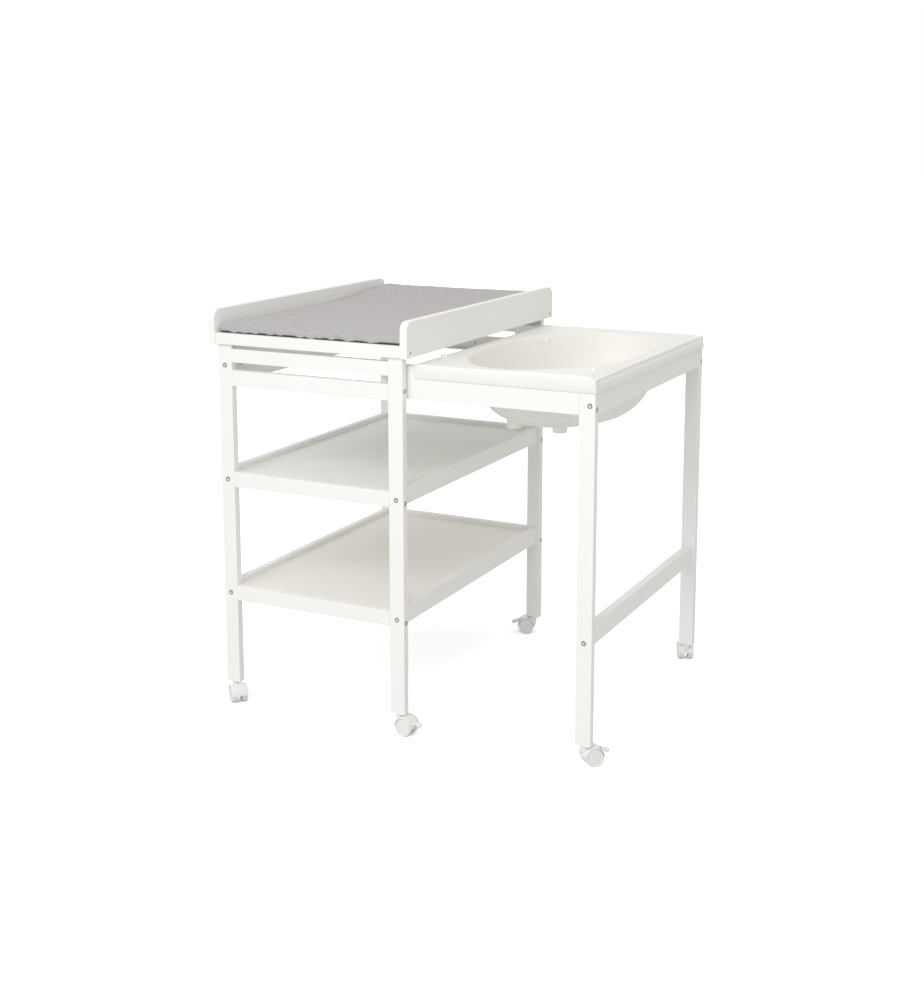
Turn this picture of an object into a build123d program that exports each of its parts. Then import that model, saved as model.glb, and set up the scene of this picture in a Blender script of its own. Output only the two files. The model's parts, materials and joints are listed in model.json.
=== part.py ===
"""Changing table with a baby bath that slides out from under the changing top.

Millimetres, +Z up, X to the bath side, Y to the back. The origin is on the floor, below the middle of the
whole object with its bath pulled out.
"""
from build123d import *
from math import cos, radians, sin
import os

os.makedirs("parts", exist_ok=True)

# ---- driving dimensions: the main frame ----
table_width = 504.0  # over the legs, left to right
table_depth = 800.0  # over the legs, front to back
leg_width = 38.0
leg_depth = 20.0
leg_height = 848.0  # underside of the top above the foot of a leg
edge_round = 1.5  # softened corners of every painted bar
rail_thickness = 18.0  # bars that run front to back
upper_rail_height = 33.0
upper_rail_gap = 10.5  # between the upper rail and the top
lower_rail_height = 38.0
between_rails = 19.0
apron_height = 90.0
apron_gap = 5.5  # between the apron and the top
top_thickness = 27.0
top_overhang = 8.5
guard_thickness = 18.5
guard_height = 83.5
guard_overhang = 13.0
guard_corner = 22.0
guard_edge = 2.0

# ---- driving dimensions: the shelves ----
upper_shelf_drop = 347.0  # underside of its side rails below the top
shelf_spacing = 286.0
shelf_side_height = 44.5
shelf_front_height = 37.0
shelf_front_drop = 2.5  # the front rail hangs this far below the side rails
shelf_panel_thickness = 8.0
shelf_panel_drop = 2.5  # below the front rail's upper edge
shelf_groove = 6.0
shelf_tongue_step = 1.0  # the panel's edges are this much lower where they enter the grooves

# ---- driving dimensions: the bath carriage ----
bath_extension = 456.0  # the bath legs' outer faces beyond the table's
bath_rail_overlap = 68.0  # the bath's rails reach this far into the table
top_clearance = 16.0  # between the tub's rim and the changing top
bath_leg_gap = 4.3  # between the back of a table leg and the front of a bath leg
side_rail_thickness = 20.0
side_rail_inset = 2.5  # from the bath legs' outer faces
stretcher_foot = 226.0
stretcher_height = 47.0

# ---- driving dimensions: the tub ----
tub_wall = 3.5
lip_wall = 3.0
lip_drop = 32.0
lip_corner = 4.0
lip_edge = 2.5
tub_clear = 16.3  # between the table's legs and the tub
fit_gap = 0.3  # between touching pieces of different bodies and inside the tub's lip
basin_shift_front = 12.0  # the basin sits a little towards the front
basin_side_clear = 5.2  # between the basin and the side rail
basin_end_clear = 4.2  # between the basin and the front rail
basin_ovals = [  # depth below the rim's underside, how much narrower, how much shorter, shift to the back
    (0.0, 0.0, 0.0, 0.0),
    (40.0, 3.0, 8.0, 4.0),
    (85.0, 8.0, 30.0, 14.0),
    (118.0, 16.0, 56.0, 30.0),
    (144.0, 32.0, 92.0, 54.0),
    (164.0, 54.0, 142.0, 92.0),
    (176.0, 79.0, 196.0, 132.0),
]
tub_foot_radius = 17.5
tub_foot_spread = 58.0  # either side of the basin's middle
tub_foot_inset = 163.0  # from the basin's front end
tub_foot_height = 170.0  # foot's end below the rim's underside
drain_radius = 12.0
drain_side = 58.0  # from the basin's middle
drain_inset = 72.0  # from the back end of the basin's floor
drain_length = 12.0
plug_flange = 16.0
plug_flange_thickness = 3.0
plug_clearance = 0.3
rim_bump_height = 7.0
rim_bump_radius = 9.0
rim_bump_taper = 20.0
rim_bump_inset = 12.0  # from the rim's left edge
rim_bump_y = 131.0  # from the rim's front edge

# ---- driving dimensions: the runners ----
runner_flange = 1.5
runner_rise = 0.7  # above the underside of the lower rails
runner_shelf = 20.0  # reach of the runner's lower flange
stop_pin_radius = 4.0
stop_pin_clear = 0.5

# ---- driving dimensions: fasteners ----
bolt_radius = 3.0
bolt_clear = 0.1
bolt_head_radius = 5.8
bolt_head_height = 2.6
bolt_head_sink = 2.0
hex_radius = 2.4
hex_depth = 1.6
nut_radius = 5.0
nut_length = 12.0
nut_clear = 0.1
nut_setback = 31.0  # barrel nut from the end of its rail
bolt_past_nut = 7.5
screw_radius = 2.0
screw_head_radius = 4.0
screw_head_depth = 2.4
screw_length = 32.0
dowel_radius = 4.0
dowel_depth = 15.0
apron_bolt = 44.5  # bolts' heights above the underside of what they hold
lower_rail_bolt = 22.5
shelf_side_bolt = 16.0
shelf_rail_bolt = 10.5
stretcher_bolt = 14.0
bath_side_bolt = 22.0
bath_rail_bolt = 14.0
guard_screw_inset = 18.0
guard_screw_height = 12.0
runner_screws = 4  # in each runner
runner_screw_length = 14.0
runner_screw_head = 1.6

# ---- driving dimensions: casters ----
wheel_radius = 21.0
wheel_width = 13.5
wheel_spacing = 27.0
caster_trail = 20.0
hood_gap = 1.5
hood_wall = 2.0
hood_low_angle = -20.0
hood_high_angle = 150.0
web_gap = 0.55  # between a wheel and the fork's web
hub_boss_radius = 7.8
wheel_edge = 2.0
axle_radius = 3.0
axle_clear = 0.06
axle_cover = 3.25  # of a wheel over the end of the axle
axle_end_gap = 1.0
neck_rise = 1.2  # of the neck above the hood
neck_radius = 8.5
neck_length = 5.5
neck_web = 6.0  # depth of the web below the neck's outer side
stem_radius = 4.0
stem_clear = 0.05
stem_length = 28.0
stem_end_gap = 1.0
socket_wall = 1.5
socket_flange = 1.0
socket_flange_radius = 8.5
lever_hinge_angle = 25.0
lever_hub = 2.8
lever_hub_gap = 1.2  # between the lever's hub and the hood
lever_pin = 1.5
lever_pin_clear = 0.06
lever_length = 16.5
lever_half = 7.0
lever_root_half = 4.8
lever_neck = 3.6  # plain stretch beside the hinge
lever_thickness = 2.6
lever_slope = 12.0
ear_thickness = 2.6
ear_gap = 0.5

# ---- driving dimensions: the mat ----
mat_gap = 3.0
mat_thickness = 23.0
mat_head_thickness = 40.0
mat_ramp = 250.0  # length of the raised head end

# ---- where things are ----
z0 = 2 * wheel_radius + hood_gap + hood_wall + neck_rise + fit_gap + socket_flange  # foot of a leg
caster_angles = {
    "front_left": -40.0,
    "front_right": -5.0,
    "back_left": 40.0,
    "back_right": 198.0,
    "bath_front": 46.0,
    "bath_back": 117.0,
}
braked = ("front_right", "back_right", "bath_front")
hood_outer = wheel_radius + hood_gap + hood_wall
hood_half = wheel_spacing / 2 + wheel_width / 2
web_half = (wheel_spacing - wheel_width) / 2 - web_gap
axle_half = hood_half - axle_cover
lever_hinge_radius = hood_outer + lever_hub + lever_hub_gap
bath_caster = radians(caster_angles["bath_front"])
caster_reach = (caster_trail + hood_outer) * cos(bath_caster) + hood_half * sin(bath_caster)
overall_width = guard_thickness + table_width + bath_extension - leg_width / 2 + caster_reach
left = guard_thickness - overall_width / 2
right = left + table_width
inner_left = left + leg_width
inner_right = right - leg_width
front = -table_depth / 2
back = table_depth / 2
inner_front = front + leg_depth
inner_back = back - leg_depth
top_z = z0 + leg_height
leg_x = {"left": left + leg_width / 2, "right": right - leg_width / 2}
leg_y = {"front": front + leg_depth / 2, "back": back - leg_depth / 2}
upper_rail_z = top_z - upper_rail_gap - upper_rail_height
lower_rail_z = upper_rail_z - between_rails - lower_rail_height
apron_z = top_z - apron_gap - apron_height
shelf_z = {"upper": top_z - upper_shelf_drop, "lower": top_z - upper_shelf_drop - shelf_spacing}
runner_z = lower_rail_z + runner_rise
bath_outer = right + bath_extension
bath_leg_x = bath_outer - leg_width / 2
bath_front = inner_front + bath_leg_gap
bath_back = inner_back - bath_leg_gap
table_face = {"front": front, "back": back}
bath_face = {"front": bath_front, "back": bath_back}
bath_rail_x = right - bath_rail_overlap
bath_rail_z = runner_z + runner_flange + fit_gap
side_rail_x = bath_outer - side_rail_inset - side_rail_thickness / 2
stretcher_z = z0 + stretcher_foot
rim_top = top_z - top_clearance
rim_under = rim_top - tub_wall
tub_right = bath_outer + fit_gap + lip_wall
tub_left = right + tub_clear
tub_front = bath_front - fit_gap - lip_wall
basin_x = (tub_left + tub_right) / 2
basin_y = -basin_shift_front
side_margin = lip_wall + fit_gap + side_rail_inset + side_rail_thickness + basin_side_clear + tub_wall
end_margin = lip_wall + fit_gap + rail_thickness + basin_end_clear + tub_wall + basin_shift_front
basin_half_width = (tub_right - tub_left) / 2 - side_margin
basin_half_length = -tub_front - end_margin
towards = {"front": 1.0, "back": -1.0, "left": 1.0, "right": -1.0}  # from each side to the middle


def save(piece, name):
    piece.part.label = name
    export_step(piece.part, f"parts/{name}.step")


def box(low, high, mode=Mode.ADD):
    """A block between two corners, added to the part being built."""
    with BuildSketch(Plane.XY.offset(low[2])) as foot:
        with Locations(((low[0] + high[0]) / 2, (low[1] + high[1]) / 2)):
            Rectangle(high[0] - low[0], high[1] - low[1])
    extrude(foot.sketch, amount=high[2] - low[2], mode=mode)


def drill(face, radius, depth):
    """A round hole of the part being built, from a plane on its face."""
    with BuildSketch(face) as mouth:
        Circle(radius)
    extrude(mouth.sketch, amount=-depth, mode=Mode.SUBTRACT)


def outward(x, y, z, side):
    """A plane at a point, facing out of the table on the named side."""
    normals = {"front": (0, -1, 0), "back": (0, 1, 0), "left": (-1, 0, 0), "right": (1, 0, 0)}
    return Plane(origin=(x, y, z), z_dir=normals[side])


# ---- bolts: each one is a plane on the leg's outer face, and the leg's size along the bolt ----
table_bolts = []
bath_bolts = []
side_bolt_heights = {"left": [apron_z + apron_bolt], "right": []}
rail_bolt_heights = [lower_rail_z + lower_rail_bolt]
for side_z in shelf_z.values():
    rail_bolt_heights.append(side_z - shelf_front_drop + shelf_rail_bolt)
    for side in ("left", "right"):
        side_bolt_heights[side].append(side_z + shelf_side_bolt)
for end in ("front", "back"):
    for side in ("left", "right"):
        face_y = table_face[end]
        face_x = left if side == "left" else right
        for height in side_bolt_heights[side]:
            table_bolts.append((outward(leg_x[side], face_y, height, end), leg_depth))
        for height in rail_bolt_heights:
            table_bolts.append((outward(face_x, leg_y[end], height, side), leg_width))
    face_y = bath_face[end]
    bath_bolts.append((outward(side_rail_x, face_y, bath_rail_z + bath_side_bolt, end), leg_depth))
    bath_bolts.append((outward(bath_leg_x, face_y, stretcher_z + stretcher_bolt, end), leg_depth))
    rail_middle = face_y + towards[end] * rail_thickness / 2
    bath_bolts.append((outward(bath_outer, rail_middle, bath_rail_z + bath_rail_bolt, "right"), leg_width))


def bolt_group(bolts):
    """Hexagon socket bolts, each through a leg and past the barrel nut in the rail behind it."""
    with BuildPart() as group:
        for face, leg_size in bolts:
            length = leg_size + nut_setback + bolt_past_nut
            with BuildSketch(face.offset(-length)):
                Circle(bolt_radius)
            extrude(amount=length - bolt_head_sink)
            with BuildSketch(face.offset(-bolt_head_sink)):
                Circle(bolt_head_radius)
            extrude(amount=bolt_head_height)
            with BuildSketch(face.offset(bolt_head_height - bolt_head_sink)):
                RegularPolygon(hex_radius, 6)
            extrude(amount=-hex_depth, mode=Mode.SUBTRACT)
    return group


def nut_plane(face, leg_size):
    """The middle of a barrel nut, whose axis lies level and across its bolt."""
    across = face.z_dir.cross(Vector(0, 0, 1))
    return Plane(origin=face.origin - face.z_dir * (leg_size + nut_setback), z_dir=across)


def nut_group(bolts):
    """Barrel nuts, cross drilled for their bolts."""
    with BuildPart() as group:
        for face, leg_size in bolts:
            with BuildSketch(nut_plane(face, leg_size)):
                Circle(nut_radius)
            extrude(amount=nut_length / 2, both=True)
        for face, leg_size in bolts:
            drill(face, bolt_radius + bolt_clear, leg_size + nut_setback + nut_radius + 1)
    return group


def bolt_holes(bolts):
    """Clearance holes for bolts and barrel nuts, cut from the part being built where they meet it."""
    for face, leg_size in bolts:
        drill(face, bolt_radius + bolt_clear, leg_size + nut_setback + bolt_past_nut + 1)
        drill(face, bolt_head_radius + bolt_clear, bolt_head_sink)


def nut_holes(bolts, thickness):
    """Holes for barrel nuts, drilled from the rail's inner face."""
    for face, leg_size in bolts:
        middle = nut_plane(face, leg_size)
        inward = -1 if Vector(middle.origin).dot(middle.z_dir) > 0 else 1
        depth = (nut_length + thickness) / 2
        drill(middle.offset(-inward * nut_length / 2), nut_radius + nut_clear, -inward * depth)


def near(bolts, low, high):
    """The bolts whose axis passes through a box."""
    found = []
    for face, leg_size in bolts:
        end = face.origin - face.z_dir * (leg_size + nut_setback + bolt_past_nut)
        lows = [min(a, b) - bolt_radius for a, b in zip(face.origin, end)]
        highs = [max(a, b) + bolt_radius for a, b in zip(face.origin, end)]
        if all(h > l2 and l < h2 for l, h, l2, h2 in zip(lows, highs, low, high)):
            found.append((face, leg_size))
    return found


def bar(name, low, high, bolts, along="Z", cut=None, thickness=None):
    """A painted wooden bar with softened long edges, its bolt holes and any groove."""
    axis = {"X": Axis.X, "Y": Axis.Y, "Z": Axis.Z}[along]
    with BuildPart() as wood:
        box(low, high)
        fillet(wood.edges().filter_by(axis), edge_round)
        mine = near(bolts, low, high)
        bolt_holes(mine)
        if thickness:
            nut_holes([b for b in mine if abs(b[0].z_dir.dot(Vector(*axis.direction))) > 0.9], thickness)
        if cut:
            cut()
    save(wood, name)
    return wood


# ---- wooden dowels: plane at the joint, pointing into the leg ----
dowels = []
for end in ("front", "back"):
    for side in ("left", "right"):
        inner_x = left + leg_width if side == "left" else right - leg_width
        dowels.append(outward(inner_x, leg_y[end], upper_rail_z + upper_rail_height / 2, side))
        dowels.append(Plane(origin=(leg_x[side], leg_y[end], top_z), z_dir=(0, 0, -1)))


def dowel_holes():
    for joint in dowels:
        drill(joint.offset(dowel_depth), dowel_radius, 2 * dowel_depth)


with BuildPart() as wood_dowels:
    for joint in dowels:
        with BuildSketch(joint.offset(-dowel_depth)):
            Circle(dowel_radius)
        extrude(amount=2 * dowel_depth)
save(wood_dowels, "wood_dowels")

# ---- table legs, each with a hole for its caster socket ----
socket_radius = stem_radius + stem_clear + socket_wall


def socket_hole(x, y):
    drill(Plane(origin=(x, y, z0), z_dir=(0, 0, -1)), socket_radius, stem_length)


for end in ("front", "back"):
    for side in ("left", "right"):

        def leg_cuts(x=leg_x[side], y=leg_y[end]):
            socket_hole(x, y)
            dowel_holes()

        low = (leg_x[side] - leg_width / 2, leg_y[end] - leg_depth / 2, z0)
        high = (leg_x[side] + leg_width / 2, leg_y[end] + leg_depth / 2, top_z)
        bar(f"leg_{end}_{side}", low, high, table_bolts, cut=leg_cuts)

# ---- screws of the runners: planes on the runners' upright flanges ----
runner_screw_planes = []
for end in ("front", "back"):
    flange_y = leg_y[end] + towards[end] * (leg_depth / 2 + runner_flange)
    for step in range(runner_screws):
        screw_x = inner_left + (inner_right - inner_left) * (step + 0.5) / runner_screws
        screw_z = lower_rail_z + lower_rail_height / 2
        runner_screw_planes.append(Plane(origin=(screw_x, flange_y, screw_z), z_dir=(0, towards[end], 0)))


def runner_screw_holes():
    for face in runner_screw_planes:
        drill(face, screw_radius, runner_screw_length)


# ---- front and back rails under the top ----
for end in ("front", "back"):
    y_low = leg_y[end] - leg_depth / 2
    y_high = leg_y[end] + leg_depth / 2
    low = (inner_left, y_low, upper_rail_z)
    high = (inner_right, y_high, upper_rail_z + upper_rail_height)
    bar(f"upper_rail_{end}", low, high, [], along="X", cut=dowel_holes)
    low = (inner_left, y_low, lower_rail_z)
    high = (inner_right, y_high, lower_rail_z + lower_rail_height)
    bar(f"lower_rail_{end}", low, high, table_bolts, along="X", cut=runner_screw_holes, thickness=leg_depth)

# ---- apron under the left end of the top ----
low = (leg_x["left"] - rail_thickness / 2, inner_front, apron_z)
high = (leg_x["left"] + rail_thickness / 2, inner_back, apron_z + apron_height)
bar("side_apron", low, high, table_bolts, along="Y", thickness=rail_thickness)

# ---- changing top and its two guard boards ----
guard_screws = []
for side in ("left", "right"):
    outer_x = left - guard_thickness if side == "left" else right + guard_thickness
    for y in (front - guard_overhang + guard_screw_inset, back + guard_overhang - guard_screw_inset):
        guard_screws.append(outward(outer_x, y, top_z + guard_screw_height, side))


def screw_holes(screws):
    for face in screws:
        drill(face, screw_radius, screw_length)
        drill(face, screw_head_radius, screw_head_depth)


with BuildPart() as changing_top:
    box((left, front - top_overhang, top_z), (right, back + top_overhang, top_z + top_thickness))
    fillet(changing_top.edges().filter_by(Axis.X), edge_round)
    screw_holes(guard_screws)
    dowel_holes()
save(changing_top, "changing_top")

for side in ("left", "right"):
    board_x = left - guard_thickness if side == "left" else right
    with BuildPart() as guard:
        with BuildSketch(Plane.YZ.offset(board_x)):
            with Locations((0, top_z + guard_height / 2)):
                Rectangle(table_depth + 2 * guard_overhang, guard_height)
        extrude(amount=guard_thickness)
        corners = guard.edges().filter_by(Axis.X).group_by(Axis.Z)[-1]
        fillet(corners, guard_corner)
        rim = guard.faces().filter_by(Axis.X)
        fillet(rim.edges(), guard_edge)
        screw_holes(guard_screws)
    save(guard, f"guard_board_{side}")

with BuildPart() as guard_screw_group:
    for face in guard_screws:
        with BuildSketch(face.offset(-screw_length)):
            Circle(screw_radius)
        extrude(amount=screw_length - screw_head_depth)
        with BuildSketch(face.offset(-screw_head_depth)):
            Circle(screw_head_radius)
        extrude(amount=screw_head_depth)
        with BuildSketch(face):
            Rectangle(screw_head_radius, screw_head_radius / 4)
            Rectangle(screw_head_radius / 4, screw_head_radius)
        extrude(amount=-screw_head_depth / 2, mode=Mode.SUBTRACT)
save(guard_screw_group, "guard_screws")

# ---- shelves: four rails grooved round a panel ----
for shelf, side_z in shelf_z.items():
    front_z = side_z - shelf_front_drop
    panel_top = front_z + shelf_front_height - shelf_panel_drop
    panel_z = panel_top - shelf_panel_thickness
    side_inner = leg_width / 2 - rail_thickness / 2 + rail_thickness
    panel_low = (left + side_inner - shelf_groove, inner_front)
    panel_high = (right - side_inner + shelf_groove, inner_back)

    def panel_outline(mode):
        tongue_top = panel_top - shelf_tongue_step
        box((panel_low[0], panel_low[1], panel_z), (panel_high[0], panel_high[1], tongue_top), mode)
        box(
            (inner_left, inner_front - shelf_groove, panel_z),
            (inner_right, inner_back + shelf_groove, tongue_top),
            mode,
        )

    def groove():
        panel_outline(Mode.SUBTRACT)

    with BuildPart() as panel:
        panel_outline(Mode.ADD)
        box((left + side_inner, inner_front, panel_z), (right - side_inner, inner_back, panel_top))
    save(panel, f"{shelf}_shelf_panel")
    rail_tops = {"front": front_z + shelf_front_height, "back": side_z + shelf_side_height}
    for end in ("front", "back"):
        low = (inner_left, leg_y[end] - leg_depth / 2, front_z)
        high = (inner_right, leg_y[end] + leg_depth / 2, rail_tops[end])
        bar(f"{shelf}_shelf_rail_{end}", low, high, table_bolts, along="X", cut=groove, thickness=leg_depth)
    for side in ("left", "right"):
        low = (leg_x[side] - rail_thickness / 2, inner_front, side_z)
        high = (leg_x[side] + rail_thickness / 2, inner_back, side_z + shelf_side_height)
        name = f"{shelf}_shelf_rail_{side}"
        bar(name, low, high, table_bolts, along="Y", cut=groove, thickness=rail_thickness)

# ---- angle runners on the lower rails, which carry the bath's rails ----
for end in ("front", "back"):
    wall = leg_y[end] + towards[end] * leg_depth / 2
    tongue = wall + towards[end] * runner_shelf
    flange = wall + towards[end] * runner_flange
    with BuildPart() as runner:
        box(
            (inner_left, min(wall, tongue), runner_z),
            (inner_right, max(wall, tongue), runner_z + runner_flange),
        )
        box(
            (inner_left, min(wall, flange), runner_z),
            (inner_right, max(wall, flange), lower_rail_z + lower_rail_height),
        )
        runner_screw_holes()
    save(runner, f"bath_runner_{end}")

with BuildPart() as runner_screw_group:
    for face in runner_screw_planes:
        with BuildSketch(face.offset(-runner_screw_length)):
            Circle(screw_radius)
        extrude(amount=runner_screw_length)
        with BuildSketch(face):
            Circle(screw_head_radius)
        extrude(amount=runner_screw_head)
save(runner_screw_group, "runner_screws")

# ---- bath legs, rails and stretcher ----
for end in ("front", "back"):
    y_face = bath_face[end]
    y_inner = y_face + towards[end] * leg_depth
    low = (bath_outer - leg_width, min(y_face, y_inner), z0)
    high = (bath_outer, max(y_face, y_inner), rim_under)

    def bath_socket(y=(y_face + y_inner) / 2):
        socket_hole(bath_leg_x, y)

    bar(f"bath_leg_{end}", low, high, bath_bolts, cut=bath_socket)
    y_inner = y_face + towards[end] * rail_thickness
    low = (bath_rail_x, min(y_face, y_inner), bath_rail_z)
    high = (bath_outer - leg_width, max(y_face, y_inner), rim_under)
    pin_x = inner_right - stop_pin_clear - stop_pin_radius
    pin_z = upper_rail_z - between_rails / 2
    pin_face = Plane(origin=(pin_x, y_face, pin_z), z_dir=(0, -towards[end], 0))

    def pin_hole(face=pin_face):
        drill(face, stop_pin_radius, rail_thickness / 2)

    bar(f"bath_rail_{end}", low, high, bath_bolts, along="X", cut=pin_hole, thickness=rail_thickness)

with BuildPart() as stop_pins:
    for end in ("front", "back"):
        y_face = bath_face[end]
        pin_y = y_face + towards[end] * rail_thickness / 2
        with BuildSketch(Plane(origin=(pin_x, pin_y, pin_z), z_dir=(0, -towards[end], 0))):
            Circle(stop_pin_radius)
        extrude(amount=rail_thickness / 2 + bath_leg_gap + leg_depth / 2)
save(stop_pins, "stop_pins")

bath_inner_front = bath_front + leg_depth
bath_inner_back = bath_back - leg_depth
low = (side_rail_x - side_rail_thickness / 2, bath_inner_front, bath_rail_z)
high = (side_rail_x + side_rail_thickness / 2, bath_inner_back, rim_under)
bar("bath_side_rail", low, high, bath_bolts, along="Y", thickness=side_rail_thickness)
low = (bath_leg_x - side_rail_thickness / 2, bath_inner_front, stretcher_z)
high = (bath_leg_x + side_rail_thickness / 2, bath_inner_back, stretcher_z + stretcher_height)
bar("bath_stretcher", low, high, bath_bolts, along="Y", thickness=side_rail_thickness)

save(bolt_group(table_bolts), "table_bolts")
save(nut_group(table_bolts), "table_barrel_nuts")
save(bolt_group(bath_bolts), "bath_bolts")
save(nut_group(bath_bolts), "bath_barrel_nuts")


# ---- tub: a rim with a lip over the bath's rails, and a basin lofted through ovals ----
def basin_loft(grow, rise, mode):
    """The basin's hollow, or with a wall added its outside."""
    ovals = []
    for depth, narrower, shorter, shift in basin_ovals:
        with BuildSketch(Plane.XY.offset(rim_under - depth + rise)) as oval:
            with Locations((basin_x, basin_y + shift)):
                Ellipse(basin_half_width - narrower + grow, basin_half_length - shorter + grow)
        ovals.append(oval.sketch)
    loft(ovals, mode=mode)


floor_depth, floor_narrower, floor_shorter, floor_shift = basin_ovals[-1]
floor_z = rim_under - floor_depth
drain_y = basin_y + floor_shift + basin_half_length - floor_shorter - drain_inset
drain_plane = Plane(origin=(basin_x + drain_side, drain_y, floor_z), z_dir=(0, 0, -1))
with BuildPart() as tub:
    with BuildSketch(Plane.XY.offset(rim_top - lip_drop)):
        with Locations((basin_x, 0)):
            Rectangle(tub_right - tub_left, -2 * tub_front)
    extrude(amount=lip_drop)
    fillet(tub.edges().filter_by(Axis.Z), lip_corner)
    fillet(tub.faces().sort_by(Axis.Z)[-1].edges(), lip_edge)
    with BuildSketch(Plane.XY.offset(rim_top - lip_drop)):
        with Locations((basin_x, 0)):
            inside_width = tub_right - tub_left - 2 * lip_wall
            RectangleRounded(inside_width, -2 * (tub_front + lip_wall), lip_corner - lip_wall)
    extrude(amount=lip_drop - tub_wall, mode=Mode.SUBTRACT)
    for end in (-1, 1):
        slot = end * (bath_back - rail_thickness / 2)
        half = rail_thickness / 2 + fit_gap
        box(
            (tub_left - 1, slot - half, rim_top - lip_drop),
            (tub_left + lip_wall + 1, slot + half, rim_under),
            Mode.SUBTRACT,
        )
    basin_loft(tub_wall, 0, Mode.ADD)
    for side in (-1, 1):
        with BuildSketch(Plane.XY.offset(rim_under - tub_foot_height)):
            with Locations((basin_x + side * tub_foot_spread, basin_y - basin_half_length + tub_foot_inset)):
                Circle(tub_foot_radius)
        extrude(amount=tub_foot_height / 3)
    with BuildSketch(Plane.XY.offset(rim_top - tub_wall / 2)):
        with Locations((tub_left + rim_bump_inset, tub_front + rim_bump_y)):
            Circle(rim_bump_radius)
    extrude(amount=tub_wall / 2 + rim_bump_height, taper=rim_bump_taper)
    basin_loft(0, tub_wall, Mode.SUBTRACT)
    drill(drain_plane.offset(drain_length), drain_radius - tub_wall, drain_length + tub_wall + 1)
save(tub, "bath_tub")

with BuildPart() as drain_fitting:
    with BuildSketch(drain_plane):
        Circle(drain_radius + tub_wall)
        Circle(drain_radius - tub_wall, mode=Mode.SUBTRACT)
    extrude(amount=drain_length / 3)
    with BuildSketch(drain_plane):
        Circle(drain_radius)
        Circle(drain_radius - tub_wall, mode=Mode.SUBTRACT)
    extrude(amount=drain_length)
save(drain_fitting, "drain_fitting")

with BuildPart() as drain_plug:
    with BuildSketch(drain_plane.offset(-tub_wall - plug_clearance)):
        Circle(plug_flange)
    extrude(amount=-plug_flange_thickness)
    with BuildSketch(drain_plane.offset(-tub_wall - plug_clearance)):
        Circle(drain_radius - tub_wall - plug_clearance)
    extrude(amount=drain_length / 2)
    with BuildSketch(drain_plane.offset(-tub_wall - plug_clearance - plug_flange_thickness)):
        Circle(tub_wall)
    extrude(amount=-2 * tub_wall)
save(drain_plug, "drain_plug")


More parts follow.
